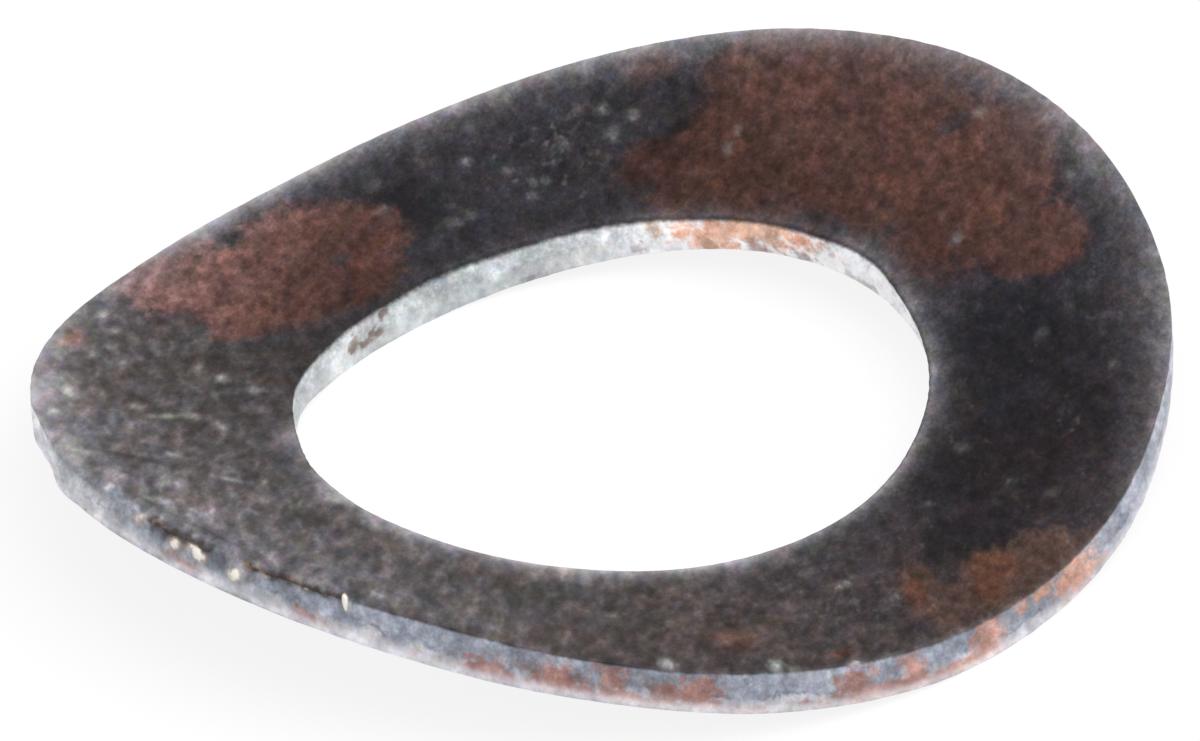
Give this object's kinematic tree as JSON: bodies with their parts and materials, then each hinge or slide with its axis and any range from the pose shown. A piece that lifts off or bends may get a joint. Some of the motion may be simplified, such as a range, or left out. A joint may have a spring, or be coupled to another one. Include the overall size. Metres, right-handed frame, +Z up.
{
  "type": "curved spring washer",
  "caption": "Curved spring washer: a flat steel ring bent about one axis, dark with rust, with a round bore and a worn rim.",
  "frame": {"origin": "on the surface the washer rests on, below the middle of the bore", "axes": "+Z up, along the bore and towards the hollow side; +Y along the bend axis; +X across the bend, through the raised ends"},
  "size_m": [0.0144, 0.015, 0.0024],
  "materials": {
    "spring_steel": "spring steel with a dark matt oxide skin on its faces, patches of red-brown rust, and brighter grey walls"
  },
  "bodies": {
    "root": {"washer": "spring_steel"}
  },
  "joints": []
}
